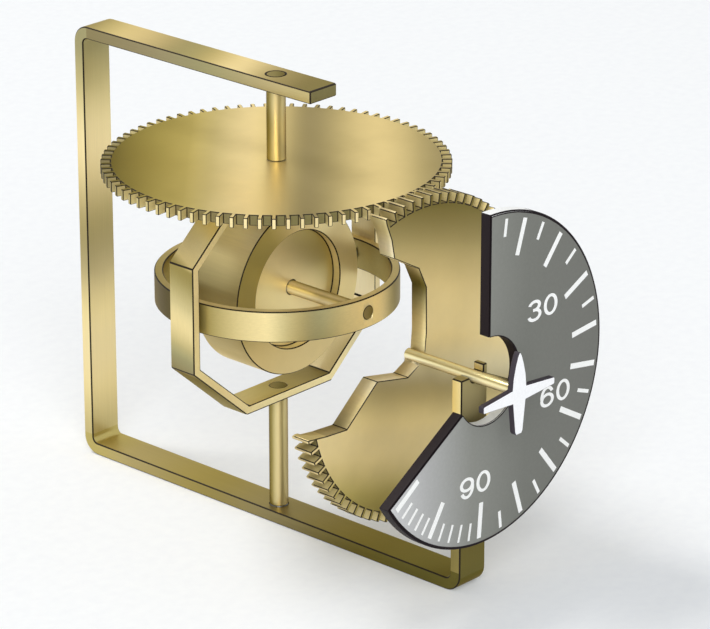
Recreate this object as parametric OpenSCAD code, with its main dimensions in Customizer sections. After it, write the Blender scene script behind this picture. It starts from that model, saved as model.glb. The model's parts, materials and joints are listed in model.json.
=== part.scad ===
// Directional gyro indicator, cut away to show its gimbals, its two gears and its compass card.
// Millimetres. Z is up, the dial faces -Y, and the azimuth axis is the Z axis.
// The underside of the frame is z = 0.

/* [Frame] */
// Width of the frame's bar, along X
bar_width = 7.6; // [6:0.1:9]
// Thickness of the frame's bar
bar_thick = 2.6; // [2.2:0.1:3]
// Outer radius of the bar's bends
bend_radius = 3.8; // [3:0.1:5]
// Outer face of the back upright, from the azimuth axis
frame_back = 53.3; // [50:0.1:58]
// Free end of the top arm, from the azimuth axis
arm_end = 12.8; // [8:0.1:20]
// Room between the level gear and the top arm
arm_room = 15; // [6:0.1:20]
// Outer face of the front upright, from the azimuth axis
frame_front = 52.3; // [50:0.1:56]
// Height of the fork's tall prong over the card shaft's axis
prong_rise = 1.7; // [1.2:0.1:2.4]
// Width of that prong
prong_width = 1.2; // [0.8:0.1:1.8]

/* [Gears] */
// Outer radius of the level gear
level_radius = 34.8; // [33:0.1:36]
// Outer radius of the upright gear
card_radius = 33.2; // [32:0.1:34.6]
// Teeth on each gear
gear_teeth = 80; // [72:1:84]
// Depth of the teeth
tooth_depth = 2; // [1.6:0.1:2.2]
// Width of a tooth on the level gear
level_tooth = 0.9; // [0.7:0.05:0.95]
// Width of a tooth on the upright gear
card_tooth = 0.8; // [0.6:0.05:0.85]
// Thickness of the level gear
level_thick = 2.2; // [1.8:0.1:2.6]
// Thickness of the upright gear's plate
plate_thick = 3.8; // [3:0.1:4.4]
// Room between the upright gear's plate and the level gear's teeth
plate_room = 0.2; // [0.15:0.05:0.4]
// Reach of the upright gear's teeth into the level gear's gaps
mesh_reach = 0.4; // [0.3:0.05:0.6]
// Depth of the part of those teeth that reaches in
lip_depth = 1.6; // [1.2:0.1:1.7]
// Width of that part
lip_width = 0.45; // [0.35:0.05:0.5]
// Height of the upright gear's rim over the level gear
mesh_rise = 1.2; // [1:0.1:1.4]

/* [Outer gimbal] */
// Height of the gimbals' centre
gimbal_height = 50.9; // [48:0.1:56]
// Half height of the octagon
octagon_rise = 24; // [23:0.1:27]
// Half length of its upright sides
side_half = 11.1; // [9:0.1:12]
// Half length of its level sides
level_half = 12.5; // [11:0.1:14]
// Thickness of the octagon's bar
octagon_thick = 1.8; // [1.6:0.1:2.2]
// Width of the octagon's bar, along Y
octagon_width = 6.5; // [6:0.1:8]
// Diameter of both azimuth shafts
shaft_diameter = 3.9; // [3.4:0.1:4.4]

/* [Ring and rotor] */
// Outer radius of the gimbal ring
ring_radius = 24.6; // [23:0.1:26]
// Height of the ring's band
ring_height = 6.4; // [5:0.1:7.5]
// Thickness of the ring's band
ring_thick = 1.8; // [1.6:0.1:2.2]
// Room between the ring and the octagon
ring_room = 0.8; // [0.7:0.1:1.4]
// Diameter of the ring's pivots
pivot_diameter = 2; // [1.6:0.1:2.4]
// Radius of the rotor
rotor_radius = 17.6; // [16:0.1:18.5]
// Length of the rotor along its axis
rotor_length = 11.6; // [10:0.1:13]
// Radius of the recess in each end of the rotor
recess_radius = 12.2; // [10:0.1:13]
// Depth of each recess
recess_depth = 1.9; // [1:0.1:3]
// Diameter of the rotor's shaft
rotor_shaft_diameter = 2.9; // [2.4:0.1:3.2]

/* [Card] */
// Diameter of the card's shaft
card_shaft_diameter = 2.4; // [2:0.1:2.6]
// Radius of the dial
dial_radius = 33.8; // [32:0.1:36]
// Thickness of the dial, face and plate
dial_thick = 2.6; // [2:0.1:3.4]
// Thickness of the grey face on it
face_thick = 0.3; // [0.2:0.05:0.5]
// Radius of the hole in the dial
hole_radius = 8.9; // [8:0.1:10]
// Angle of the dial that is left, clockwise from the top
dial_angle = 238; // [220:1:250]
// Room between the dial and the front upright
dial_room = 1.1; // [1.1:0.1:2]
// Thickness of the arm that carries the dial
arm_thick = 0.8; // [0.6:0.1:0.9]

/* [Aeroplane] */
// Front face of the aeroplane symbol, from the dial's face
symbol_stand = 7.6; // [6:0.1:9]
// Thickness of the aeroplane symbol
symbol_thick = 1.3; // [1:0.1:1.6]
// Span of its wings
symbol_span = 21; // [18:0.5:24]
// Length of its nose over the shaft's axis
nose_length = 8; // [7:0.1:9]
// Length of its tail below the shaft's axis
tail_length = 8.9; // [8:0.1:12]

/* [Hidden] */

$fn = 96;
// running clearance on radius, end shake, and the small overshoot of a cut
run = 0.04;
shake = 0.06;
cut = 0.5;

level_bottom = gimbal_height + octagon_rise;
level_top = level_bottom + level_thick;
frame_height = level_top + arm_room + bar_thick;
card_height = level_top + mesh_rise - card_radius;
pitch_angle = 360 / gear_teeth;

// places along -Y, as distances in front of the azimuth axis
lip_back = level_radius - mesh_reach;
plate_back = level_radius + plate_room;
plate_front = plate_back + plate_thick;
dial_back = frame_front + dial_room;
dial_front = dial_back + dial_thick;
face_back = dial_front - face_thick;
symbol_front = dial_front + symbol_stand;
symbol_back = symbol_front - symbol_thick;
card_shaft_front = symbol_back - 0.1;

octagon_half = ring_radius + ring_room + octagon_thick;
octagon_inner = octagon_half - octagon_thick;
ring_inner = ring_radius - ring_thick;
jewel_radius = bar_width * 0.24;
jewel_depth = bar_thick - 0.7;
foot_radius = shaft_diameter * 0.22;
spigot_radius = shaft_diameter / 3;
cup_radius = pivot_diameter * 0.9;
cup_seat = octagon_thick - 0.5;
bearing_radius = rotor_shaft_diameter / 2 + 0.05;
journal_radius = rotor_shaft_diameter / 4;
tip_radius = 0.5;
arm_angle = -26;
arm_width = 2.6;
arm_reach = hole_radius + 5;
rivet_radius = 0.55;

brass = [0.86, 0.77, 0.5];
steel = [0.66, 0.67, 0.68];
ink = [0.14, 0.11, 0.12];
grey = [0.5, 0.51, 0.48];
white = [0.93, 0.94, 0.94];

// A solid of revolution or extrusion from y = -front to y = -back, drawn in the dial's plane
module facing(front, back) {
    translate([0, -front, 0]) rotate([-90, 0, 0]) mirror([0, 1, 0])
        linear_extrude(front - back) children();
}

module on_card_axis() {
    translate([0, 0, card_height]) children();
}

module rod_y(front, back, radius) {
    translate([0, -front, 0]) rotate([-90, 0, 0]) cylinder(r = radius, h = front - back);
}

module rod_x(start, end, radius) {
    translate([start, 0, 0]) rotate([0, 90, 0]) cylinder(r = radius, h = end - start);
}

// Wedge between two angles, clockwise from the top
module wedge(from, to, radius) {
    step = (to - from) / 6;
    polygon(concat([[0, 0]], [for (i = [0 : 6])
        [radius * sin(from + i * step), radius * cos(from + i * step)]]));
}

module teeth(width, root, tip, offset_angle) {
    for (i = [0 : gear_teeth - 1])
        rotate(i * pitch_angle + offset_angle)
            translate([-width / 2, root - 0.4]) square([width, tip - root + 0.4]);
}

module bend(corner) {
    // quarter of a flat ring; corner is the direction of its outside
    intersection() {
        difference() {
            circle(bend_radius);
            circle(bend_radius - bar_thick);
        }
        translate([corner[0] > 0 ? 0 : -bend_radius, corner[1] > 0 ? 0 : -bend_radius])
            square(bend_radius);
    }
}

module frame_profile() {
    r = bend_radius;
    fork_top = card_height + prong_rise;
    translate([arm_end * -1, frame_height - bar_thick])
        square([arm_end + frame_back - r, bar_thick]);
    translate([frame_back - r, frame_height - r]) bend([1, 1]);
    translate([frame_back - bar_thick, r]) square([bar_thick, frame_height - 2 * r]);
    translate([frame_back - r, r]) bend([1, -1]);
    translate([r - frame_front, 0]) square([frame_front + frame_back - 2 * r, bar_thick]);
    translate([r - frame_front, r]) bend([-1, -1]);
    translate([-frame_front, r]) square([bar_thick, fork_top - r]);
}

module main_frame() {
    color(brass) difference() {
        translate([-bar_width / 2, 0, 0]) rotate([90, 0, 90])
            linear_extrude(bar_width) frame_profile();
        // the upper shaft runs in the arm, and the jewel sits in the base
        translate([0, 0, frame_height - bar_thick - cut])
            cylinder(r = shaft_diameter / 2 + run, h = bar_thick + 2 * cut);
        translate([0, 0, bar_thick - jewel_depth]) cylinder(r = jewel_radius, h = jewel_depth + cut);
        // the fork: a low seat with a half-round groove, and one tall prong beside it
        on_card_axis() {
            rod_y(frame_front + cut, frame_front - bar_thick - cut, card_shaft_diameter / 2 + run);
            translate([-bar_width / 2 - cut, -frame_front - cut, 0])
                cube([bar_width - prong_width + cut, bar_thick + 2 * cut, prong_rise + cut]);
        }
    }
}

module lower_jewel() {
    color(steel) translate([0, 0, bar_thick - jewel_depth]) difference() {
        cylinder(r = jewel_radius, h = jewel_depth);
        translate([0, 0, 0.4]) cylinder(r = foot_radius + run, h = jewel_depth);
    }
}

module aeroplane_outline() {
    half = symbol_span / 2;
    right = [[0.15, nose_length], [0.6, nose_length - 0.7], [1.2, nose_length - 2.4],
             [1.8, nose_length - 4.7], [2.1, 0.7], [half - 0.2, -0.1], [half, -0.4],
             [half, -1.3], [half - 0.2, -1.6], [1.9, -2.2], [1.15, 0.6 - tail_length],
             [0.8, -tail_length]];
    // the left half is the right one mirrored, taken back up from the tail
    last = len(right) - 1;
    polygon(concat(right, [for (i = [0 : last]) [-right[last - i][0], right[last - i][1]]]));
}

module aeroplane_symbol() {
    color(white) on_card_axis() difference() {
        facing(symbol_front, symbol_back) aeroplane_outline();
        rod_y(symbol_back + 0.7, symbol_back - cut, tip_radius + run);
    }
}

module octagon(grow) {
    a = octagon_half + grow;
    b = octagon_rise + grow;
    // a bar of even thickness moves each corner by this much along its side
    k = grow * tan(22.5);
    polygon([[a, side_half + k], [level_half + k, b], [-level_half - k, b], [-a, side_half + k],
             [-a, -side_half - k], [-level_half - k, -b], [level_half + k, -b], [a, -side_half - k]]);
}

module outer_gimbal() {
    color(brass) translate([0, 0, gimbal_height]) difference() {
        facing(octagon_width / 2, -octagon_width / 2) difference() {
            octagon(0);
            octagon(-octagon_thick);
        }
        translate([0, 0, octagon_rise - octagon_thick - cut])
            cylinder(r = spigot_radius, h = octagon_thick + 2 * cut);
        translate([0, 0, -octagon_rise - cut])
            cylinder(r = shaft_diameter / 2, h = octagon_thick + 2 * cut);
        for (side = [0, 1]) mirror([side, 0, 0])
            rod_x(octagon_inner - cut, octagon_inner + cup_seat, cup_radius);
    }
}

module level_gear() {
    color(brass) translate([0, 0, level_bottom]) difference() {
        linear_extrude(level_thick) {
            circle(level_radius - tooth_depth);
            // half a pitch round, so that the upright gear's teeth fall in the gaps
            teeth(level_tooth, level_radius - tooth_depth, level_radius, 180 + pitch_angle / 2);
        }
        translate([0, 0, -cut]) cylinder(r = spigot_radius, h = level_thick + 2 * cut);
    }
}

module upper_shaft() {
    spigot = level_thick + octagon_thick;
    color(brass) translate([0, 0, level_top]) {
        cylinder(r = shaft_diameter / 2, h = frame_height - level_top);
        translate([0, 0, -spigot]) cylinder(r = spigot_radius, h = spigot + 0.1);
    }
}

module lower_shaft() {
    foot = jewel_depth - 0.4 - shake;
    top = gimbal_height - octagon_rise + octagon_thick;
    color(brass) {
        translate([0, 0, bar_thick + shake])
            cylinder(r = shaft_diameter / 2, h = top - bar_thick - shake);
        translate([0, 0, bar_thick - foot]) cylinder(r = foot_radius, h = foot + shake + 0.1);
    }
}

module pivot_cup() {
    color(steel) translate([0, 0, gimbal_height]) difference() {
        rod_x(octagon_inner - ring_room / 2, octagon_inner + cup_seat, cup_radius);
        rod_x(octagon_inner - ring_room, octagon_inner + cup_seat - 0.3, pivot_diameter / 2 + run);
    }
}

module left_pivot_cup() {
    mirror([1, 0, 0]) pivot_cup();
}

module right_pivot_cup() {
    pivot_cup();
}

module gimbal_ring() {
    color(brass) translate([0, 0, gimbal_height]) difference() {
        cylinder(r = ring_radius, h = ring_height, center = true, $fn = 180);
        cylinder(r = ring_inner, h = ring_height + 2 * cut, center = true, $fn = 180);
        rod_x(-ring_radius - cut, ring_radius + cut, pivot_diameter / 2);
        rod_y(ring_radius + cut, -ring_radius - cut, bearing_radius);
    }
}

module pivot() {
    // its tip stays clear of the cup's floor
    color(steel) translate([0, 0, gimbal_height])
        rod_x(ring_inner - 0.4, octagon_inner + cup_seat - 0.3 - shake, pivot_diameter / 2);
}

module left_pivot() {
    mirror([1, 0, 0]) pivot();
}

module right_pivot() {
    pivot();
}

module rotor_bearing() {
    color(ink) translate([0, 0, gimbal_height]) difference() {
        rod_y(ring_radius, ring_inner - 0.5, bearing_radius);
        rod_y(ring_radius - 0.5, ring_inner - cut - 0.5, journal_radius + run);
    }
}

module front_rotor_bearing() {
    rotor_bearing();
}

module rear_rotor_bearing() {
    mirror([0, 1, 0]) rotor_bearing();
}

module rotor_wheel() {
    half = rotor_length / 2;
    color(brass) translate([0, 0, gimbal_height]) difference() {
        rod_y(half, -half, rotor_radius, $fn = 144);
        for (side = [0, 1]) mirror([0, side, 0]) rod_y(half + cut, half - recess_depth, recess_radius);
        rod_y(half + cut, -half - cut, rotor_shaft_diameter / 2);
    }
}

module rotor_shaft() {
    shoulder = ring_inner - 0.5 - shake;
    tip = ring_radius - 0.5 - shake;
    color(steel) translate([0, 0, gimbal_height]) {
        rod_y(shoulder, -shoulder, rotor_shaft_diameter / 2);
        rod_y(tip, -tip, journal_radius);
    }
}

// What is broken away from the upright gear, up and to the left of the shaft
module broken_sector() {
    far = card_radius + 6;
    // the break runs close by the shaft, which keeps a bit more than half of its seat
    polygon([[-far * 0.3, far], [-10.4, 30.6], [-8.9, 26.9], [-8.1, 22.9], [-1.1, 19], [1.1, 14.5],
             [1.2, 5], [0.85, 1.2], [0.85, 0.5], [-0.9, -0.5], [-1, -1.3], [-4.1, -2.8],
             [-12.9, -1], [-21.6, -8.3], [-27.3, -7.9], [-32, -7.3], [-far, -6.8], [-far, far]]);
}

module card_gear() {
    root = card_radius - tooth_depth;
    color(brass) on_card_axis() difference() {
        union() {
            facing(plate_front, plate_back) difference() {
                union() {
                    circle(root);
                    teeth(card_tooth, root, card_radius, 0);
                }
                broken_sector();
            }
            facing(plate_back + 0.1, lip_back) difference() {
                teeth(lip_width, card_radius - lip_depth + 0.4, card_radius, 0);
                broken_sector();
            }
        }
        rod_y(plate_front + cut, plate_back - cut, card_shaft_diameter / 2);
    }
}

module card_shaft() {
    color(brass) on_card_axis() {
        rod_y(card_shaft_front, plate_back, card_shaft_diameter / 2);
        rod_y(symbol_back + 0.7 - shake, plate_back + 1, tip_radius);
    }
}

module rivet_place(place) {
    rotate([0, -arm_angle, 0]) translate([place, 0, 0]) children();
}

module card_arm() {
    arm_back = dial_back - arm_thick;
    color(steel) on_card_axis() difference() {
        // it starts as a saddle under the shaft
        facing(dial_back, arm_back) rotate(arm_angle) {
            translate([0.6, -arm_width / 2]) square([arm_reach - 0.6, arm_width]);
            translate([arm_reach, 0]) circle(arm_width / 2);
        }
        rod_y(dial_front, arm_back - cut, card_shaft_diameter / 2);
        for (place = [arm_reach - 3, arm_reach]) rivet_place(place)
            rod_y(dial_back + cut, arm_back - cut, rivet_radius);
    }
}

module dial_shape(outer) {
    intersection() {
        difference() {
            circle(outer, $fn = 180);
            circle(hole_radius);
        }
        wedge(0, dial_angle, outer * 1.3);
    }
}

module dial_plate() {
    color(ink) on_card_axis() difference() {
        facing(face_back, dial_back) dial_shape(dial_radius);
        for (place = [arm_reach - 3, arm_reach]) rivet_place(place)
            rod_y(dial_back + 1.5, dial_back - cut, rivet_radius);
    }
}

module dial_face() {
    color(grey) on_card_axis() facing(dial_front, face_back) dial_shape(dial_radius - 0.3);
}

module arm_rivet(place) {
    color(steel) on_card_axis() rivet_place(place)
        rod_y(dial_back + 1.5, dial_back - arm_thick, rivet_radius);
}

module inner_arm_rivet() {
    arm_rivet(arm_reach - 3);
}

module outer_arm_rivet() {
    arm_rivet(arm_reach);
}

main_frame();
lower_jewel();
aeroplane_symbol();
outer_gimbal();
level_gear();
upper_shaft();
lower_shaft();
left_pivot_cup();
right_pivot_cup();
gimbal_ring();
left_pivot();
right_pivot();
front_rotor_bearing();
rear_rotor_bearing();
rotor_wheel();
rotor_shaft();
card_gear();
card_shaft();
card_arm();
dial_plate();
dial_face();
inner_arm_rivet();
outer_arm_rivet();
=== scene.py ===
import json
import math

import bmesh
import bpy
import numpy as np
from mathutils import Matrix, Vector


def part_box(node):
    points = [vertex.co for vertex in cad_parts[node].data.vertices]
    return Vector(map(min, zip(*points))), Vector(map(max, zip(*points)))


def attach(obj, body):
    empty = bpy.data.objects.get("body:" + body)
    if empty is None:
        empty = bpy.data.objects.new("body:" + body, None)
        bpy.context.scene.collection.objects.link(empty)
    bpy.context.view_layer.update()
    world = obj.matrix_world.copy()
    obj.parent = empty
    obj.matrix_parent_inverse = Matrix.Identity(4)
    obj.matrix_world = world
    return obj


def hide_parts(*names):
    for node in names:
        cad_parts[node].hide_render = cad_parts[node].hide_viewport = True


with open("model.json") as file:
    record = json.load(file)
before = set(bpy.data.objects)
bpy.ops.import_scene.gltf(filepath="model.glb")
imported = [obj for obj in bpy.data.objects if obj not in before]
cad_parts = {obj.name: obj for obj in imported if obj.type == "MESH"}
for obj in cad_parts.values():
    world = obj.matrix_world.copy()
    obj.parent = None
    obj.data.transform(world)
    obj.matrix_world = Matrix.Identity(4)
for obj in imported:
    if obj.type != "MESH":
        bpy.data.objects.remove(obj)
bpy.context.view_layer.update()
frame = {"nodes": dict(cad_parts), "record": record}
nodeBody = {n: b for b, members in frame["record"]["behaviour"]["bodies"].items() for n in members}
nodeSlot = {s["node"]: s["material_slot"] for s in frame["record"]["subparts"]}
mm = 0.001
print("frame loaded:", len(frame["nodes"]), "nodes")


def standOff(thing, s, aim):
    # a camera or lamp at its distance from the point that it looks at, on the side that its azimuth and
    # elevation give: x = sin a cos e, y = -cos a cos e, z = sin e
    a, e = math.radians(s["azimuth"]), math.radians(s["elevation"])
    way = np.array([math.sin(a) * math.cos(e), -math.cos(a) * math.cos(e), math.sin(e)])
    thing.location = np.array(aim) + way * s["distance"]
    thing.rotation_euler = (math.radians(90 - s["elevation"]), 0, a)
    bpy.context.scene.collection.objects.link(thing)


# a long lens from the left of the card and a little above, as the cut-away is drawn
cameraSettings = {
    "azimuth": -47.5,          # degrees, 0 looks along +Y
    "elevation": 21.45,
    "distance": 800 * mm,
    "lens": 202.8,             # mm, on a sensor of this width
    "sensor": 36,
    "clip": (0.01, 20),        # metres, the nearest and farthest that it sees
    "aim": (8.44 * mm, -13.33 * mm, 45.07 * mm),
}


def makeCamera(s):
    data = bpy.data.cameras.new("camera")
    data.lens, data.sensor_width = s["lens"], s["sensor"]
    data.clip_start, data.clip_end = s["clip"]
    cam = bpy.data.objects.new("camera", data)
    standOff(cam, s, s["aim"])
    bpy.context.scene.camera = cam
    print("camera placed")


makeCamera(cameraSettings)


def toLinear(hexColour):
    # sRGB hex to linear, with alpha 1
    parts = [int(hexColour[i:i + 2], 16) / 255 for i in (1, 3, 5)]
    return [c / 12.92 if c <= 0.04045 else ((c + 0.055) / 1.055) ** 2.4 for c in parts] + [1.0]


def addNode(tree, kind, settings=(), links=()):
    # settings go to the node, or to an input where the name is one, and "stops" are the places and
    # colours of a ramp; links are (input, from node, output)
    node = tree.nodes.new("ShaderNode" + kind)
    for name, value in dict(settings).items():
        if name == "stops":
            ends = node.color_ramp.elements
            for i in (0, -1):
                ends[i].position, ends[i].color = value[i][0], toLinear(value[i][1])
            for place, colour in value[1:-1]:
                ends.new(place).color = toLinear(colour)
        elif isinstance(name, int) or name in node.inputs:
            node.inputs[name].default_value = value
        else:
            setattr(node, name, value)
    for name, source, output in links:
        tree.links.new(source.outputs[output], node.inputs[name])
    return node


def newMaterial(name, settings):
    mat = bpy.data.materials.new(name)
    mat.use_nodes = True
    tree = mat.node_tree
    shader = tree.nodes["Principled BSDF"]
    for key, value in settings.items():
        shader.inputs[key].default_value = value
    return mat, tree, shader


def rampStops(shadeBands):
    # painted bands of light and shade in mm or degrees, as places from 0 to 1 along a ramp
    low, high = shadeBands[0][0], shadeBands[-1][0]
    return [((place - low) / (high - low), colour) for place, colour in shadeBands]


def finishSurface(tree, shader, tones, fine, broad, height, s):
    # fine noise lightens and darkens the tones a little, broad noise changes the roughness, and the
    # relief follows the height; noise mostly lies between 0.3 and 0.7
    shade = addNode(tree, "MapRange", {"From Min": 0.3, "From Max": 0.7, "To Min": 1 - s["shade"],
                                       "To Max": 1 + s["shade"]}, [("Value", fine, "Fac")])
    colour = addNode(tree, "HueSaturation", links=[("Color", tones, "Color"), ("Value", shade, 0)])
    low, high = s["rough"]
    rough = addNode(tree, "MapRange", {"To Min": low, "To Max": high}, [("Value", broad, "Fac")])
    bump = addNode(tree, "Bump", {"Strength": s["strength"], "Distance": s["bump"] * mm},
                   [("Height", height, "Fac")])
    for node, name in ((colour, "Base Color"), (rough, "Roughness"), (bump, "Normal")):
        tree.links.new(node.outputs[0], shader.inputs[name])


# the way that "right" runs in the picture, level with the floor
acrossView = (0.6756, -0.7373, 0.0)
alongX, alongY, alongZ = (1.0, 0.0, 0.0), (0.0, 1.0, 0.0), (0.0, 0.0, 1.0)


def axisHeight(node):
    # middle height of a node's box, in mm: that of its axis where it lies level
    low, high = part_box(node)
    return round((low.z + high.z) / 2 / mm, 2)


cardHeight, rotorHeight = axisHeight("card_shaft"), axisHeight("rotor_shaft")
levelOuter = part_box("level_gear")[1].x / mm            # outer radii of the two gears, in mm
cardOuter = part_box("card_gear")[1].z / mm - cardHeight

# what all the brass shares, where a finish doesn't say otherwise: how metallic it is under its old
# lacquer, the tint of its glancing reflection, patches in mm over which the polish varies, how far the
# grain lightens and darkens it, the strength of its relief, and how far in mm the patches push the
# painted bands of light and shade
brassSettings = {
    "metal": 0.75, "glance": "#DFC88E", "patch": 9, "shade": 0.04, "strength": 0.6, "push": 0,
}

# painted light and shade on yellow brass under old lacquer, tones from its deepest shade to a
# glint, some of them yellower and some greyer
brassShadeTones = {
    "deepest": "#48401C", "deep": "#60562E", "umber": "#6C6430", "olive": "#786C38",
    "oliveGrey": "#807850", "dull": "#90845C", "dullYellow": "#A09054", "dullGrey": "#9C906C",
    "plain": "#A49868", "plainGrey": "#A8A074", "soft": "#B4A470", "softYellow": "#C0B06C",
    "softGrey": "#C0B080", "clear": "#CCBC84", "bright": "#D8C890", "brightGrey": "#E0D4AC",
    "brighter": "#E4D098", "light": "#F0DCA0", "lighter": "#F8E4AC", "lightest": "#FCECB4",
    "glint": "#FEF0C8",
}
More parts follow.
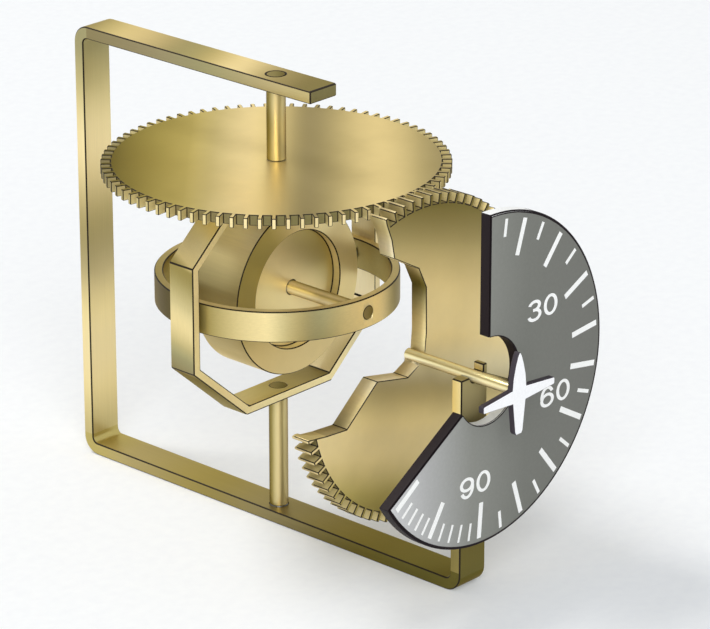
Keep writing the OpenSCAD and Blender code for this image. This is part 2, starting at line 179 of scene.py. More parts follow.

# yellow brass, a finish for each surface. "grain" is the size of its grain in mm along x, y and z,
# drawn coarser than real so that it shows, "rough" the range of its roughness and "bump" the depth of
# its relief in mm. "rings" are a lathe's marks: axis, height of that axis and pitch in mm. Its bands of
# tone are painted light and shade, with painted highlights and reflections, laid on broadly: (mm, tone)
# in the direction "along", counted from the height "zero", or (degrees from +X, tone) round a level
# axis "around"
brassFinishes = {
    # bar stock, drawn through a die: faint lines along the bar
    "rolledArm": {
        "grain": (0.16, 20, 0.16), "rough": (0.3, 0.42), "bump": 0.01, "push": 2.0,
        "along": (-0.35, 1.0, 0.0), "shadeBands": [
            (-13, "oliveGrey"), (-6, "dull"), (2, "softGrey"), (9, "lighter"), (17, "clear"),
            (24, "plainGrey"), (31, "softGrey"), (39, "brighter"), (46, "clear"), (53, "dull")]},
    "rolledArmSide": {
        "grain": (0.16, 20, 0.16), "rough": (0.3, 0.42), "bump": 0.01, "push": 2.0, "along": alongY,
        "shadeBands": [
            (-13, "clear"), (0, "softGrey"), (15, "plainGrey"), (30, "dullGrey"), (53, "dull")]},
    "rolledUpright": {
        "grain": (0.16, 0.16, 20), "rough": (0.3, 0.42), "bump": 0.01, "push": 2.0, "along": alongZ,
        "shadeBands": [
            (5, "clear"), (14, "light"), (23.5, "lighter"), (33, "light"), (42, "softGrey"),
            (52, "soft"), (61, "brighter"), (70, "lighter"), (80, "bright"), (90, "plainGrey")]},
    "rolledBase": {
        "grain": (0.16, 20, 0.16), "rough": (0.3, 0.42), "bump": 0.01, "push": 2.0, "along": alongY,
        "shadeBands": [
            (-52, "umber"), (-40, "umber"), (-22, "olive"), (0, "dull"), (20, "dullYellow"),
            (40, "soft"), (50, "softYellow")]},
    "rolledFork": {
        "grain": (0.16, 0.16, 20), "metal": 0.5, "rough": (0.3, 0.42), "bump": 0.01, "push": 1.0,
        "along": alongZ, "shadeBands": [
            (2, "umber"), (14, "olive"), (30, "oliveGrey"), (40, "dull"), (47, "plain")]},
    "rolledForkSide": {
        "grain": (0.16, 0.16, 20), "metal": 0.9, "rough": (0.3, 0.42), "bump": 0.01, "push": 1.0,
        "along": alongZ, "shadeBands": [
            (2, "dullYellow"), (14, "plain"), (30, "lightest"), (40, "lightest"), (47, "lightest")]},
    # faced in a lathe about the upright axis: fine rings
    "turnedLevelGear": {
        "grain": (9, 9, 9), "rings": ("z", 0, 0.3), "rough": (0.3, 0.4), "bump": 0.004, "push": 0.8,
        "along": acrossView, "shadeBands": [
            (-34, "umber"), (-17.5, "softYellow"), (-12, "bright"), (-6, "lighter"), (-2, "light"),
            (2.7, "softGrey"), (6.5, "dullGrey"), (12.5, "softGrey"), (18, "brighter"),
            (23, "brighter"), (28, "softGrey"), (34, "dullGrey")]},
    # the same about the card's axis
    "turnedCardGear": {
        "grain": (9, 9, 9), "rings": ("y", cardHeight, 0.3), "metal": 0.5, "rough": (0.3, 0.4),
        "bump": 0.004, "push": 0.8, "along": (0.28, 0.0, 0.96), "shadeBands": [
            (10, "dullYellow"), (16.5, "softYellow"), (22, "light"), (27, "lighter"), (32, "light"),
            (37.5, "softGrey"), (41.5, "brightGrey"), (47, "lighter"), (51.5, "lighter"),
            (59, "brighter"), (66, "soft"), (74, "olive")]},
    # where the gear was broken away to show the works: rough and streaked, with painted light and shade
    # in bands up it
    "brokenGear": {
        "grain": (0.5, 2.5, 0.5), "metal": 0.5, "rough": (0.4, 0.52), "bump": 0.03, "push": 0.8,
        "along": alongZ, "shadeBands": [
            (35, "dullGrey"), (38, "softGrey"), (41, "lighter"), (43.5, "glint"), (47, "lightest"),
            (52, "light"), (57, "plain"), (61.5, "olive"), (66, "lighter"), (69.5, "glint"),
            (74, "bright")]},
    # teeth, each part with its own painted light and shade: tips painted lighter, and a little
    # glossier, flanks between, and the floors between the teeth painted darker as shade
    "toothTip": {
        "grain": (2, 2, 0.3), "metal": 0.5, "rough": (0.26, 0.36), "bump": 0.004, "push": 0.8,
        "along": acrossView, "shadeBands": [
            (-35, "oliveGrey"), (-26, "clear"), (-12, "light"), (0, "lighter"), (9, "brighter"),
            (20, "lighter"), (34, "bright"), (60, "brighter")]},
    "toothFlank": {
        "grain": (2, 2, 0.3), "metal": 0.5, "rough": (0.4, 0.5), "bump": 0.004, "push": 0.8,
        "along": acrossView, "shadeBands": [
            (-35, "dull"), (-28, "bright"), (0, "clear"), (20, "bright"), (60, "clear")]},
    "toothFloor": {
        "grain": (2, 2, 0.3), "metal": 0.5, "rough": (0.4, 0.5), "bump": 0.004, "push": 0.8,
        "along": acrossView, "shadeBands": [
            (-35, "umber"), (-20, "dull"), (0, "oliveGrey"), (20, "oliveGrey"), (60, "oliveGrey")]},
    # the rotor's ends, faced in a lathe, with painted highlights and shade lying on them in rays round
    # the axis; its recess and rim have painted light and shade too
    "turnedRotorEnd": {
        "grain": (9, 9, 9), "rings": ("y", rotorHeight, 0.35), "metal": 0.5, "rough": (0.28, 0.38),
        "bump": 0.006, "around": rotorHeight, "shadeBands": [
            (-180, "dullYellow"), (-160, "clear"), (-140, "brighter"), (-45, "brighter"),
            (-20, "light"), (15, "light"), (40, "brighter"), (58, "lightest"), (75, "lighter"),
            (95, "brighter"), (120, "softYellow"), (180, "dullYellow")]},
    "turnedRotorRecess": {
        "grain": (9, 9, 9), "rings": ("y", rotorHeight, 0.35), "metal": 0.5, "rough": (0.28, 0.38),
        "bump": 0.006, "push": 0.6, "along": (0.75, 0.0, 0.66), "shadeBands": [
            (19, "lightest"), (25, "lightest"), (30, "lightest"), (35, "lighter"), (40, "bright"),
            (46, "softYellow")]},
    "turnedRotorRim": {
        "grain": (0.4, 9, 0.4), "metal": 0.5, "rough": (0.28, 0.38), "bump": 0.006,
        "around": rotorHeight, "shadeBands": [
            (-180, "soft"), (-150, "softGrey"), (-125, "lightest"), (-60, "lighter"), (-20, "clear"),
            (30, "lighter"), (80, "clear"), (105, "light"), (125, "glint"), (142, "light"),
            (160, "soft"), (180, "soft")]},
    # strip bent to an octagon, then lapped
    "formedSide": {
        "grain": (0.2, 0.2, 3.2), "rough": (0.3, 0.42), "bump": 0.008, "push": 1.0,
        "along": (0.0, -0.25, 1.0), "shadeBands": [
            (27, "plainGrey"), (38, "umber"), (39.6, "dull"), (43, "plainGrey"), (45.5, "clear"),
            (49.5, "light"), (53.5, "bright"), (61.5, "dullYellow"), (63, "light"), (66.5, "glint"),
            (69, "lighter"), (73, "glint")]},
    "formedInside": {
        "grain": (0.2, 0.2, 3.2), "metal": 0.5, "rough": (0.3, 0.42), "bump": 0.008, "push": 1.0,
        "along": alongZ, "shadeBands": [
            (28.7, "brightGrey"), (33, "brightGrey"), (36.5, "glint"), (40, "glint"), (48, "glint"),
            (58, "brightGrey"), (63, "dullGrey"), (72, "oliveGrey")]},
    "formedFloor": {
        "grain": (3.2, 0.2, 0.2), "metal": 0.5, "rough": (0.3, 0.42), "bump": 0.008, "push": 1.0,
        "along": alongX, "shadeBands": [
            (-13, "bright"), (-4, "softYellow"), (5, "dullYellow"), (13, "olive")]},
    "formedEdge": {
        "grain": (0.4, 9, 0.4), "metal": 0.5, "rough": (0.3, 0.42), "bump": 0.006, "push": 1.0,
        "along": (1.0, 0.0, 0.3), "shadeBands": [
            (-15, "lightest"), (-8, "lighter"), (0, "lightest"), (12, "lightest"), (24, "lightest"),
            (34, "brightGrey"), (45, "lighter")]},
    # strip rolled to a hoop: the polishing ran round it
    "rolledRing": {
        "grain": (0.9, 0.9, 0.25), "metal": 0.5, "rough": (0.3, 0.42), "bump": 0.008, "push": 0.8,
        "along": acrossView, "shadeBands": [
            (-24.6, "deepest"), (-20, "deep"), (-14, "dullYellow"), (-2.6, "light"), (1.2, "bright"),
            (5, "soft"), (8.6, "plainGrey"), (12.4, "bright"), (16.6, "lighter"), (20.5, "lighter"),
            (23, "plain"), (24.6, "oliveGrey")]},
    "rolledRingInside": {
        "grain": (0.9, 0.9, 0.25), "rough": (0.3, 0.42), "bump": 0.008, "push": 0.8,
        "along": acrossView, "shadeBands": [
            (-24, "umber"), (-20, "soft"), (-14, "light"), (-4, "lightest"), (8, "bright"),
            (18, "plain"), (24, "dull")]},
    "rolledRingTop": {
        "grain": (0.9, 0.9, 0.25), "metal": 0.5, "rough": (0.3, 0.42), "bump": 0.006, "push": 0.8,
        "along": acrossView, "shadeBands": [
            (-24, "dullYellow"), (-14, "brighter"), (-3, "lightest"), (7, "brighter"), (16, "light"),
            (24, "clear")]},
    # centreless ground and buffed rod, with painted light and shade across it: painted highlights along
    # its middle, darker at its sides
    "buffedShaft": {
        "grain": (0.3, 0.3, 6), "metal": 0.5, "rough": (0.2, 0.28), "bump": 0.003, "push": 0.1,
        "along": acrossView, "shadeBands": [
            (-1.95, "olive"), (-1.3, "dullYellow"), (-0.6, "bright"), (0.05, "brighter"), (0.6, "soft"),
            (1.2, "bright"), (1.7, "softGrey"), (1.95, "dull")]},
    "buffedCardShaft": {
        "grain": (0.3, 6, 0.3), "metal": 0.5, "rough": (0.2, 0.28), "bump": 0.003, "push": 0.1,
        "zero": cardHeight, "along": (0.55, 0.0, 0.83), "shadeBands": [
            (-1.2, "softGrey"), (-0.75, "glint"), (-0.3, "lightest"), (0, "soft"), (0.4, "lightest"),
            (0.8, "lightest"), (1.2, "soft")]},
    "buffedRotorShaft": {
        "grain": (0.3, 6, 0.3), "metal": 0.5, "rough": (0.2, 0.28), "bump": 0.003, "push": 0.1,
        "zero": rotorHeight, "along": (0.55, 0.0, 0.83), "shadeBands": [
            (-1.45, "softGrey"), (-0.9, "glint"), (-0.3, "light"), (0.1, "soft"), (0.6, "lighter"),
            (1.1, "clear"), (1.45, "dullYellow")]},
    # a rod's end, left as the cut-off tool made it: dull, and painted darker as shade
    "cutOffEnd": {
        "grain": (2, 2, 2), "rough": (0.4, 0.5), "bump": 0.006, "push": 0.1, "along": acrossView,
        "shadeBands": [
            (-2, "dull"), (0, "oliveGrey"), (2, "deep")]},
    "cutOffPin": {
        "grain": (2, 2, 2), "rough": (0.4, 0.5), "bump": 0.006, "push": 0.1, "along": acrossView,
        "shadeBands": [
            (16.4, "dullGrey"), (18.2, "dull"), (19.8, "olive")]},
    "sawnEnd": {
        "grain": (0.3, 3, 3), "rough": (0.4, 0.5), "bump": 0.01, "push": 0.5, "along": alongX,
        "shadeBands": [
            (-4, "oliveGrey"), (0, "oliveGrey"), (4, "oliveGrey")]},
}


def makeBrass(name, s):
    # old lacquer over the metal scatters part of the light, so it isn't wholly metallic; brass stays
    # yellow at a glancing angle, so the tint of its glancing reflection is brass too
    s = brassSettings | s
    mat, tree, shader = newMaterial(name + "Brass", {"Metallic": s["metal"],
                                                     "Specular Tint": toLinear(s["glance"])})
    coords = addNode(tree, "TexCoord")
    patches = addNode(tree, "TexNoise", {"Scale": 1 / (s["patch"] * mm), "Detail": 2.0,
                                         "Roughness": 0.5}, [("Vector", coords, "Object")])
    # the brass's painted light and shade: in rays round a level axis, or in bands along a direction
    if "around" in s:
        # the height of the rotor's axis goes to zero and z takes y's place, so the angle is in x and z
        turned = addNode(tree, "Mapping", {"Location": (0, -s["around"] * mm, 0),
                                           "Rotation": (-math.pi / 2, 0, 0)},
                         [("Vector", coords, "Object")])
        unit = addNode(tree, "TexGradient", {"gradient_type": "RADIAL"}, [("Vector", turned, "Vector")])
        output = "Fac"
    else:
        # place along the painted bands of light and shade, pushed a little to and fro by the patches so
        # that no band is ruled
        along = addNode(tree, "VectorMath", {"operation": "DOT_PRODUCT", 1: s["along"]},
                        [(0, coords, "Object")])
        pushed = addNode(tree, "Math", {"operation": "MULTIPLY_ADD", 1: s["push"] * mm},
                         [(0, patches, "Fac"), (2, along, "Value")])
        start = s["push"] / 2 + s.get("zero", 0) * s["along"][2]
        low, high = s["shadeBands"][0][0] + start, s["shadeBands"][-1][0] + start
        unit = addNode(tree, "MapRange", {"From Min": low * mm, "From Max": high * mm},
                       [("Value", pushed, 0)])
        output = 0
    # the painted light and shade, as a ramp of brass tones
    stops = rampStops([(place, brassShadeTones[tone]) for place, tone in s["shadeBands"]])
    tones = addNode(tree, "ValToRGB", {"stops": stops}, [("Fac", unit, output)])
    tones.color_ramp.interpolation = "CARDINAL"
    grainMap = addNode(tree, "Mapping", {"Scale": [1 / (g * mm) for g in s["grain"]]},
                       [("Vector", coords, "Object")])
    grain = addNode(tree, "TexNoise", {"Scale": 1.0, "Detail": 4.0, "Roughness": 0.6},
                    [("Vector", grainMap, "Vector")])
    height = grain
    if "rings" in s:
        axis, centre, pitch = s["rings"]
        keep = (1, 1, 0) if axis == "z" else (1, 0, 1)
        flat = addNode(tree, "Mapping", {"Location": (0, 0, -centre * mm * keep[2]), "Scale": keep},
                       [("Vector", coords, "Object")])
        radius = addNode(tree, "VectorMath", {"operation": "LENGTH"}, [(0, flat, "Vector")])
        # one mark of the tool for each pitch, its height from noise along the radius
        height = addNode(tree, "TexNoise", {"noise_dimensions": "1D", "Scale": 1 / (pitch * mm),
                                            "Detail": 2.0}, [("W", radius, "Value")])
    finishSurface(tree, shader, tones, grain, patches, height, s)
    return mat


# what the paints and the steel share: clouds in mm over which they vary, the speckle's share in them,
# how far the speckle lightens and darkens them, and the strength of its relief
paintSettings = {"metal": 0.0, "cloud": 18, "speck": 0.2, "shade": 0.03, "strength": 0.5}

# two tones, roughness, size and relief of the speckle in mm, and gloss
paintFinishes = {
    # hardened steel, ground bright: grey and clear
    "groundSteel": {"tones": ("#8E9092", "#B6B8BA"), "rough": (0.26, 0.36), "size": 0.3, "bump": 0.004,
                    "metal": 1.0, "gloss": 0.5},
    # old lacquer and polish that the cloth leaves along every sharp edge: a thin brown-black line
    "lacquerLine": {"tones": ("#1B140B", "#2A2113"), "rough": (0.5, 0.6), "size": 0.4, "bump": 0.002,
                    "gloss": 0.2},
    # stoved black enamel on the card's plate: deep and nearly dull
    "stovedBlack": {"tones": ("#1A1114", "#231A1E"), "rough": (0.5, 0.6), "size": 0.5, "bump": 0.004,
                    "gloss": 0.15},
    # a painted white highlight on the black, where the card's rim and its notch face up
    "rubbedPrimer": {"tones": ("#EDEFEC", "#FCFCFA"), "rough": (0.4, 0.5), "size": 0.5, "bump": 0.004,
                     "gloss": 0.4},
    # the card's back, left in brushed white primer: flat and pale
    "brushedPrimer": {"tones": ("#F2F2EF", "#FBFBF8"), "rough": (0.5, 0.6), "size": 0.5, "bump": 0.004,
                      "gloss": 0.3},
    # matt grey enamel of the card's face, sprayed: a fine orange peel, with painted light and shade,
    # pale towards the left and darker to the right, in (mm from its axis, colour)
    "sprayedGrey": {"rough": (0.5, 0.62), "size": 0.7, "bump": 0.006, "gloss": 0.25, "shadeAcross": [
        (-32, "#E4E4E6"), (-27, "#CACACA"), (-18, "#B0B0AE"), (-5, "#8B8C85"), (11, "#767770"),
        (34, "#70706A")]},
    # white filling paint of the scale and numbers: thick and dull
    "filledWhite": {"tones": ("#F6F6F2", "#FEFEFC"), "rough": (0.5, 0.6), "size": 0.3, "bump": 0.003,
                    "gloss": 0.5},
    # white enamel of the aeroplane's face, dipped: a little glossier
    "dippedWhite": {"tones": ("#F8F8FA", "#FFFFFF"), "rough": (0.34, 0.44), "size": 0.5, "bump": 0.003,
                    "gloss": 0.5},
    # its edges, brushed with a dark violet grey
    "brushedViolet": {"tones": ("#2E2830", "#3C353D"), "rough": (0.4, 0.5), "size": 0.5, "bump": 0.003,
                      "gloss": 0.3},
}


def makePaint(name, s):
    s = paintSettings | s
    mat, tree, shader = newMaterial(name, {"Metallic": s["metal"], "Specular IOR Level": s["gloss"]})
    coords = addNode(tree, "TexCoord")
    speckle = addNode(tree, "TexNoise", {"Scale": 1 / (s["size"] * mm), "Detail": 3.0},
                      [("Vector", coords, "Object")])
    clouds = addNode(tree, "TexNoise", {"Scale": 1 / (s["cloud"] * mm), "Detail": 2.0},
                     [("Vector", coords, "Object")])
    # the grey's painted light and shade, pale to the left and darker to the right along x
    if "shadeAcross" in s:
        place = addNode(tree, "SeparateXYZ", links=[("Vector", coords, "Object")])
        low, high = s["shadeAcross"][0][0], s["shadeAcross"][-1][0]
        unit = addNode(tree, "MapRange", {"From Min": low * mm, "From Max": high * mm},
                       [("Value", place, "X")])
        stops = rampStops(s["shadeAcross"])
    else:
        unit = addNode(tree, "Math", {"operation": "MULTIPLY_ADD", 1: s["speck"]},
                       [(0, speckle, "Fac"), (2, clouds, "Fac")])
        # the sum of both noises mostly lies between these
        stops = [(0.35, s["tones"][0]), (0.8, s["tones"][1])]
    tones = addNode(tree, "ValToRGB", {"stops": stops}, [("Fac", unit, 0)])
    finishSurface(tree, shader, tones, speckle, clouds, speckle, s)
    return mat


finish = {name: makeBrass(name, s) for name, s in brassFinishes.items()}
finish.update({name: makePaint(name, s) for name, s in paintFinishes.items()})
print("materials made:", len(finish))


def fromLevelAxis(c):
    return math.hypot(c.x, c.y)


def fromCardAxis(c):
    return math.hypot(c.x, c.z - cardHeight)


# a face's normal along an axis: square to it, nearly so, or leaning
square, nearly, leaning = 0.95, 0.9, 0.5
# where the straights of the bent bar part from each other, in mm: fork and upright along y, base and
# arm along z; and the heights from which the fork has its own finish, and the arm's end is sawn
barParts = {"fork": -48.6, "upright": 49.6, "base": 4.4, "arm": 90.3, "forkFoot": 3, "sawn": 92}
# both gears: how far in mm a tip and a flank lie inside the outer radius, the radius outside which a
# face belongs to the teeth, and how squarely the floor between two teeth faces outwards
toothParts = {"tip": 0.3, "flank": 2.2, "rim": 20, "outwards": 0.8}
# the card: radii in mm of its rim's inside and of its round notch, and how squarely a rim face looks
# up to take the painted highlight
cardParts = {"rim": 30, "notch": 9.5, "facingUp": 0.93}
beside = -0.7                  # y of a normal above which a face of card or symbol isn't its front
recessWithin = 4.5             # mm from the wheel's middle, nearer than its ends are


def isPaintedHighlight(c, n):
    # painted highlight: top of the card's rim, and the faces of its notch that look up
    return (n.z > cardParts["facingUp"] and fromCardAxis(c) > cardParts["rim"]
            or n.z > leaning and fromCardAxis(c) < cardParts["notch"])


def isToothFloor(outwards, radius):
    # a normal times a centre is the radius where the face looks straight outwards
    return outwards > toothParts["outwards"] * radius > toothParts["outwards"] * toothParts["rim"]


# node: finish, width of the eased edge in mm, finish of that edge, and the faces with a finish of
# their own, each by a test of a face's centre and normal in mm; the first that holds is taken
easedNodes = {
    "main_frame": ("rolledArm", 0.24, "lacquerLine", {
        "sawnEnd": lambda c, n: c.z > barParts["sawn"] and n.y < -nearly,
        "rolledUpright": lambda c, n: (
            c.y > barParts["upright"] and c.z > barParts["base"] and abs(n.z) < nearly),
        "rolledForkSide": lambda c, n: (
            c.y < barParts["fork"] and c.z > barParts["base"] and n.x < -leaning),
        "rolledFork": lambda c, n: c.y < barParts["fork"] and c.z > barParts["forkFoot"],
        "rolledBase": lambda c, n: c.z < barParts["base"],
        "rolledArmSide": lambda c, n: abs(n.x) > leaning}),
    "lower_jewel": ("groundSteel", 0.08, "groundSteel", {}),
    "outer_gimbal": ("formedSide", 0.22, "lacquerLine", {
        "formedEdge": lambda c, n: abs(n.y) > nearly,
        "formedFloor": lambda c, n: n.z > square and c.z < rotorHeight,
        "formedInside": lambda c, n: n.x * c.x + n.z * (c.z - rotorHeight) < 0}),
    "level_gear": ("turnedLevelGear", 0.15, "lacquerLine", {
        "toothTip": lambda c, n: (
            abs(n.z) < leaning and fromLevelAxis(c) > levelOuter - toothParts["tip"]),
        "toothFloor": lambda c, n: isToothFloor(n.x * c.x + n.y * c.y, fromLevelAxis(c)),
        "toothFlank": lambda c, n: abs(n.z) < leaning and fromLevelAxis(c) > toothParts["rim"]}),
    "upper_shaft": ("buffedShaft", 0.16, "lacquerLine", {"cutOffEnd": lambda c, n: n.z > nearly}),
    "lower_shaft": ("buffedShaft", 0.16, "lacquerLine", {"cutOffEnd": lambda c, n: n.z > nearly}),
    "left_pivot_cup": ("groundSteel", 0.08, "groundSteel", {}),
    "right_pivot_cup": ("groundSteel", 0.08, "groundSteel", {}),
    "gimbal_ring": ("rolledRing", 0.22, "lacquerLine", {
        "rolledRingTop": lambda c, n: abs(n.z) > nearly,
        "rolledRingInside": lambda c, n: n.x * c.x + n.y * c.y < 0}),
    "left_pivot": ("groundSteel", 0.08, "groundSteel", {}),
    "right_pivot": ("groundSteel", 0.08, "groundSteel", {}),
    "front_rotor_bearing": ("cutOffPin", 0.2, "lacquerLine", {}),
    "rear_rotor_bearing": ("cutOffPin", 0.2, "lacquerLine", {}),
    "rotor_wheel": ("turnedRotorRim", 0.2, "lacquerLine", {
        "turnedRotorRecess": lambda c, n: abs(n.y) > nearly and abs(c.y) < recessWithin,
        "turnedRotorEnd": lambda c, n: abs(n.y) > nearly}),
    "rotor_shaft": ("buffedRotorShaft", 0.12, "lacquerLine", {}),
    "card_gear": ("turnedCardGear", 0.16, "lacquerLine", {
        "toothTip": lambda c, n: (
            abs(n.y) < leaning and fromCardAxis(c) > cardOuter - toothParts["tip"]),
        "toothFloor": lambda c, n: isToothFloor(n.x * c.x + n.z * (c.z - cardHeight), fromCardAxis(c)),
        "toothFlank": lambda c, n: (
            abs(n.y) < leaning and fromCardAxis(c) > cardOuter - toothParts["flank"]),
        "brokenGear": lambda c, n: abs(n.y) < leaning}),
    "card_shaft": ("buffedCardShaft", 0.14, "lacquerLine", {
        "cutOffEnd": lambda c, n: abs(n.y) > nearly}),
    "card_arm": ("buffedCardShaft", 0.1, "lacquerLine", {}),
    # the card's rim and notch, where they face up, carry a painted white highlight
    "dial_plate": ("stovedBlack", 0.1, "stovedBlack", {
        "brushedPrimer": lambda c, n: n.y > nearly,
        "rubbedPrimer": isPaintedHighlight}),
    "dial_face": ("sprayedGrey", 0.22, "stovedBlack", {
        "rubbedPrimer": isPaintedHighlight,
        "stovedBlack": lambda c, n: n.y > beside}),
    "aeroplane_symbol": ("dippedWhite", 0.12, "brushedViolet", {
        "brushedViolet": lambda c, n: n.y > beside}),
    "inner_arm_rivet": ("buffedCardShaft", 0.1, "lacquerLine", {}),
    "outer_arm_rivet": ("buffedCardShaft", 0.1, "lacquerLine", {}),
}

# edges left sharp, by a test of an edge's centre in mm: the card gear's narrow lips, its back and its
# seat, and the reamed holes, whose pins bring a dark edge of their own
sharpReach = {"gearBack": -36.8, "gearSeat": 2, "hole": 3}
leftSharp = {
    "card_gear": lambda c: c.y > sharpReach["gearBack"] or fromCardAxis(c) < sharpReach["gearSeat"],
    "gimbal_ring": lambda c: abs(c.z - rotorHeight) < sharpReach["hole"],
    "outer_gimbal": lambda c: (fromLevelAxis(c) < sharpReach["hole"]
                               or math.hypot(c.y, c.z - rotorHeight) < sharpReach["hole"]),
}

# planes that part a long face, each a place in mm and a direction, so that each straight of the bar has
# its own bands
partedAt = {"main_frame": [((0, barParts["upright"], 0), alongY), ((0, barParts["fork"], 0), alongY),
                           ((0, 0, barParts["base"]), alongZ), ((0, 0, barParts["arm"]), alongZ)]}

# distance in mm at which corners are merged, degrees within which faces are one flat, radians between
# which two faces are one curve, and how much the larger faces bear on the shading
easeSettings = {"merge": 0.002, "flat": 0.5, "curve": (0.01, 0.5), "weight": 90}


def easeNode(node, mainFinish, width, edgeFinish, others, s):
    # a merged copy of the solid, its flat faces made whole, with a narrow chamfer in its own finish
    work = bmesh.new()
    work.from_mesh(frame["nodes"][node].data)
    bmesh.ops.remove_doubles(work, verts=work.verts, dist=s["merge"] * mm)
    bmesh.ops.dissolve_limit(work, angle_limit=math.radians(s["flat"]), verts=work.verts,
                             edges=work.edges)
    for place, direction in partedAt.get(node, []):
        bmesh.ops.bisect_plane(work, geom=work.verts[:] + work.edges[:] + work.faces[:],
                               plane_co=[p * mm for p in place], plane_no=direction)
    least, most = s["curve"]
    for face in work.faces:
        # only faces of a curved wall are shaded smooth: those that turn gently into the next
        face.smooth = any(least < edge.calc_face_angle(0) < most for edge in face.edges)
        # materials 0 and 1 are the main finish and the edge's, and the others follow
        centre = face.calc_center_median() / mm
        own = (i for i, test in enumerate(others.values(), 2) if test(centre, face.normal))
        face.material_index = next(own, 0)
    weights = work.edges.layers.float.new("bevel_weight_edge")
    for edge in work.edges:
        middle = (edge.verts[0].co + edge.verts[1].co) / 2 / mm
        sharp = node in leftSharp and leftSharp[node](middle)
        edge[weights] = edge.calc_face_angle(0) > most and not sharp
    mesh = bpy.data.meshes.new(node + "Eased")
    work.to_mesh(mesh)
    work.free()
    piece = bpy.data.objects.new(node + "Eased", mesh)
    bpy.context.scene.collection.objects.link(piece)
    for name in (mainFinish, edgeFinish, *others):
        mesh.materials.append(finish[name])
    edge = piece.modifiers.new("edge", "BEVEL")
    edge.width, edge.segments, edge.material = width * mm, 1, 1
    edge.limit_method, edge.use_clamp_overlap = "WEIGHT", False
    piece.modifiers.new("normals", "WEIGHTED_NORMAL").weight = s["weight"]
    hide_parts(node)
    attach(piece, nodeBody[node])


for node, settings in easedNodes.items():
    easeNode(node, *settings, easeSettings)
print("eased pieces:", len(easedNodes))


def addPiece(name, points, faces, finishName, body, slotName):
    mesh = bpy.data.meshes.new(name)
    mesh.from_pydata(points.tolist(), [], faces)
    mesh.update()
    mesh.materials.append(finish[finishName])
    piece = bpy.data.objects.new(name, mesh)
    bpy.context.scene.collection.objects.link(piece)
    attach(piece, body)


# paint on the card: where its face's front is, and how far paint goes into it so that no gap shows
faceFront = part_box("dial_face")[0].y
sunk = 0.02 * mm


def edgeLines(path, width, closed=False):
    # the two edges of a line of even width: each point moved half a width along the line's normal
    step = np.roll(path, -1, 0) - np.roll(path, 1, 0) if closed else np.gradient(path, axis=0)
    step /= np.linalg.norm(step, axis=1)[:, None]
    normal = np.stack([-step[:, 1], step[:, 0]], 1) * width / 2
    return path + normal, path - normal


def ribbonSolid(left, right, thick, closed=False):
    # a painted stroke: its two edge lines in the card's plane, given a thickness towards the front;
    # points run left front, right front, left back, right back
    n = len(left)
    front, back = np.full(n, faceFront - thick), np.full(n, faceFront + sunk)
    points = np.concatenate([np.stack([e[:, 0], y, cardHeight * mm + e[:, 1]], 1)
                             for y in (front, back) for e in (left, right)])
    i = np.arange(n if closed else n - 1)
    j = (i + 1) % n
    lf, rf, lb, rb = 0, n, 2 * n, 3 * n
    quads = [np.stack(q, 1) for q in (
        (rf + i, rf + j, lf + j, lf + i), (lb + i, lb + j, rb + j, rb + i),
        (lf + i, lf + j, lb + j, lb + i), (rb + i, rb + j, rf + j, rf + i))]
    if not closed:
        quads.append([[lb, rb, rf, lf], [rf + n - 1, rb + n - 1, lb + n - 1, lf + n - 1]])
    return points, np.concatenate(quads)


def joinSolids(solids):
    points, faces, base = [], [], 0
    for p, f in solids:
        points.append(p)
        faces.append(f + base)
        base += len(p)
    return np.concatenate(points), np.concatenate(faces).tolist()


scaleSettings = {
    "outer": 32.3, "long": 7.4, "short": 3.6,          # mm from the card's axis, and lengths
    "longWidth": 1.15, "shortWidth": 0.75, "fineWidth": 0.55,
    "longAngles": [18, 40, 64, 85, 100, 120, 141, 162, 184.5, 212, 235],
    "shortAngles": [8, 28.5, 51.5, 75, 110.5, 131, 151.5, 173],
    "fineSpans": [(184.5, 212), (212, 235)],           # each in equal parts, with fine marks between
    "fineParts": 5,
    "paint": 0.05,                                      # mm that the paint stands proud
}


def tick(angle, length, width, s):
    # a short line along a radius: x = r sin a, z = r cos a
    a = math.radians(angle)
    radii = np.array([s["outer"], s["outer"] - length]) * mm
    path = np.stack([radii * math.sin(a), radii * math.cos(a)], 1)
    return ribbonSolid(*edgeLines(path, width * mm), s["paint"] * mm)


def makeScale(s):
    ticks = [tick(a, s["long"], s["longWidth"], s) for a in s["longAngles"]]
    ticks += [tick(a, s["short"], s["shortWidth"], s) for a in s["shortAngles"]]
    for start, end in s["fineSpans"]:
        ticks += [tick(start + (end - start) * k / s["fineParts"], s["short"], s["fineWidth"], s)
                  for k in range(1, s["fineParts"])]
    addPiece("dialScale", *joinSolids(ticks), "filledWhite", "card", "white_enamel")
    print("scale marks:", len(ticks))


makeScale(scaleSettings)

rimSettings = {
    "from": 15, "to": 236,                             # degrees round the card, 0 at the top
    "inset": 0.2, "narrow": 0.05, "broad": 0.3,        # mm from the rim; widths at its ends and midway
    "paint": 0.03, "points": 90,
}


def makeRimLine(s):
    # black line where the grey stops short of the rim: its outer edge is at radius r, and its inner
    # edge nearer the axis by a width that follows half a sine along it
    t = np.linspace(0, 1, s["points"])
    a = np.radians(s["from"] + (s["to"] - s["from"]) * t)
    way = np.stack([np.sin(a), np.cos(a)], 1)
    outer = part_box("dial_face")[1].x / mm - s["inset"]
    inner = outer - s["narrow"] - (s["broad"] - s["narrow"]) * np.sin(np.pi * t)
    line = ribbonSolid(way * outer * mm, way * inner[:, None] * mm, s["paint"] * mm)
    addPiece("dialRimLine", *joinSolids([line]), "stovedBlack", "card", nodeSlot["dial_plate"])
    print("rim line:", s["points"], "points")


makeRimLine(rimSettings)

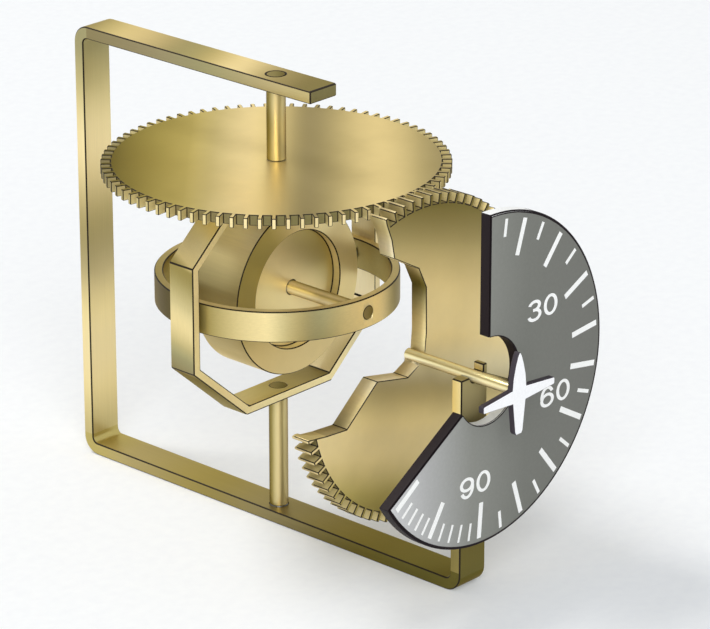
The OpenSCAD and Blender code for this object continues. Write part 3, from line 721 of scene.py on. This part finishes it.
numberSettings = {
    "stroke": 0.6, "stretch": 1.4,                     # mm: a stroke's width; then all is widened level
    "step": 4.85, "paint": 0.05, "over": 0.008,        # mm between figures; paint, and more by stroke
    "points": 40,                                       # on each stroke
    # each stroke is part of an ellipse: its centre, its two radii in mm, and from and to in degrees,
    # where 0 is to the right and 90 is up
    "figures": {
        "0": [(0, 0, 1.16, 1.9, 0, 360)],
        "3": [(0, 1.02, 1.04, 0.88, 168, -105), (0, -0.88, 1.17, 1.02, 105, -170)],
        "6": [(0, -0.73, 1.16, 1.17, 0, 360), (0, 0, 1.16, 1.9, 200, 28)],
        "9": [(0, 0.73, 1.16, 1.17, 0, 360), (0, 0, 1.16, 1.9, 20, -152)],
    },
    "places": {"30": (15.6, 10.7), "60": (19.9, -8.55), "90": (-3.8, -20.45)},
}


def figureStroke(arc, centre, thick, s):
    # part of an ellipse: x = cx + rx cos t, z = cz + rz sin t, with its width, then widened level
    cx, cz, rx, rz, start, end = arc
    closed = end - start == 360
    t = np.radians(np.linspace(start, end, s["points"], endpoint=not closed))
    path = np.stack([cx + rx * np.cos(t), cz + rz * np.sin(t)], 1)
    left, right = [(e * (s["stretch"], 1) + centre) * mm for e in edgeLines(path, s["stroke"], closed)]
    return ribbonSolid(left, right, thick * mm, closed)


def makeNumbers(s):
    solids = []
    for number, (x, z) in s["places"].items():
        for place, figure in zip((-0.5, 0.5), number):
            # a stroke that crosses another lies on it, a little prouder
            solids += [figureStroke(arc, (x + place * s["step"], z), s["paint"] + k * s["over"], s)
                       for k, arc in enumerate(s["figures"][figure])]
    addPiece("dialNumbers", *joinSolids(solids), "filledWhite", "card", "white_enamel")
    print("numbers:", list(s["places"]))


makeNumbers(numberSettings)

floorSettings = {
    "reach": 4.0,                                       # metres, half its side
    "tones": ("#F5F7F9", "#F9FBFC"), "fibre": 2.5,      # of its paper; mm
    # how much of the studio's plain white the camera and the metal see in it, over its shaded paper
    "white": 0.2,
}
# strength of the studio's light on the object; the camera and the metal see it at 1, which is white
worldSettings = {"light": 0.45, "colour": "#F8FAFC"}


def seenDirectly(tree, low, high):
    # high for a ray from the camera or off a shiny or clear surface, low for light on the object
    path = addNode(tree, "LightPath")
    shiny = addNode(tree, "Math", {"operation": "MAXIMUM"},
                    [(0, path, "Is Glossy Ray"), (1, path, "Is Transmission Ray")])
    either = addNode(tree, "Math", {"operation": "MAXIMUM"},
                     [(0, path, "Is Camera Ray"), (1, shiny, 0)])
    return addNode(tree, "Math", {"operation": "MULTIPLY_ADD", 1: high - low, 2: low}, [(0, either, 0)])


def makeFloor(s):
    # a level square: corners at each sign of the reach
    signs = np.array([(-1, -1, 0), (1, -1, 0), (1, 1, 0), (-1, 1, 0)])
    mesh = bpy.data.meshes.new("studioFloor")
    mesh.from_pydata((signs * s["reach"]).tolist(), [], [(0, 1, 2, 3)])
    floor = bpy.data.objects.new("studioFloor", mesh)
    bpy.context.scene.collection.objects.link(floor)
    mat, tree, shader = newMaterial("paperFloor", {"Roughness": 0.9, "Specular IOR Level": 0.1})
    coords = addNode(tree, "TexCoord")
    fibre = addNode(tree, "TexNoise", {"Scale": 1 / (s["fibre"] * mm), "Detail": 2.0},
                    [("Vector", coords, "Object")])
    tones = addNode(tree, "ValToRGB", {"stops": [(0.3, s["tones"][0]), (0.7, s["tones"][1])]},
                    [("Fac", fibre, "Fac")])
    tree.links.new(tones.outputs["Color"], shader.inputs["Base Color"])
    plain = addNode(tree, "Emission", {"Color": toLinear(worldSettings["colour"]), "Strength": 1.0})
    mixed = addNode(tree, "MixShader", links=[(0, seenDirectly(tree, 0.0, s["white"]), 0),
                                              (1, shader, 0), (2, plain, 0)])
    tree.links.new(mixed.outputs[0], tree.nodes["Material Output"].inputs["Surface"])
    mesh.materials.append(mat)


def makeWorld(s):
    world = bpy.data.worlds.new("studio")
    bpy.context.scene.world = world
    world.use_nodes = True
    tree = world.node_tree
    background = tree.nodes["Background"]
    background.inputs["Color"].default_value = toLinear(s["colour"])
    tree.links.new(seenDirectly(tree, s["light"], 1.0).outputs[0], background.inputs["Strength"])


# round soft lamps: angles as the camera's, distance and size in metres
lampAim = (0, -5 * mm, 48 * mm)
lampSettings = {
    "keyLamp": {"azimuth": -165, "elevation": 58, "distance": 2.6, "size": 1.0, "watts": 31,
                "colour": "#FFFCF8"},
    "fillLamp": {"azimuth": -45, "elevation": 32, "distance": 2.8, "size": 2.1, "watts": 44,
                 "colour": "#FAFCFF"},
}


def makeLamp(name, s):
    data = bpy.data.lights.new(name, "AREA")
    data.shape, data.size, data.energy = "DISK", s["size"], s["watts"]
    data.color = toLinear(s["colour"])[:3]
    standOff(bpy.data.objects.new(name, data), s, lampAim)


makeFloor(floorSettings)
makeWorld(worldSettings)
for name, settings in lampSettings.items():
    makeLamp(name, settings)
bpy.context.scene.view_settings.view_transform = "Standard"
print("studio ready")
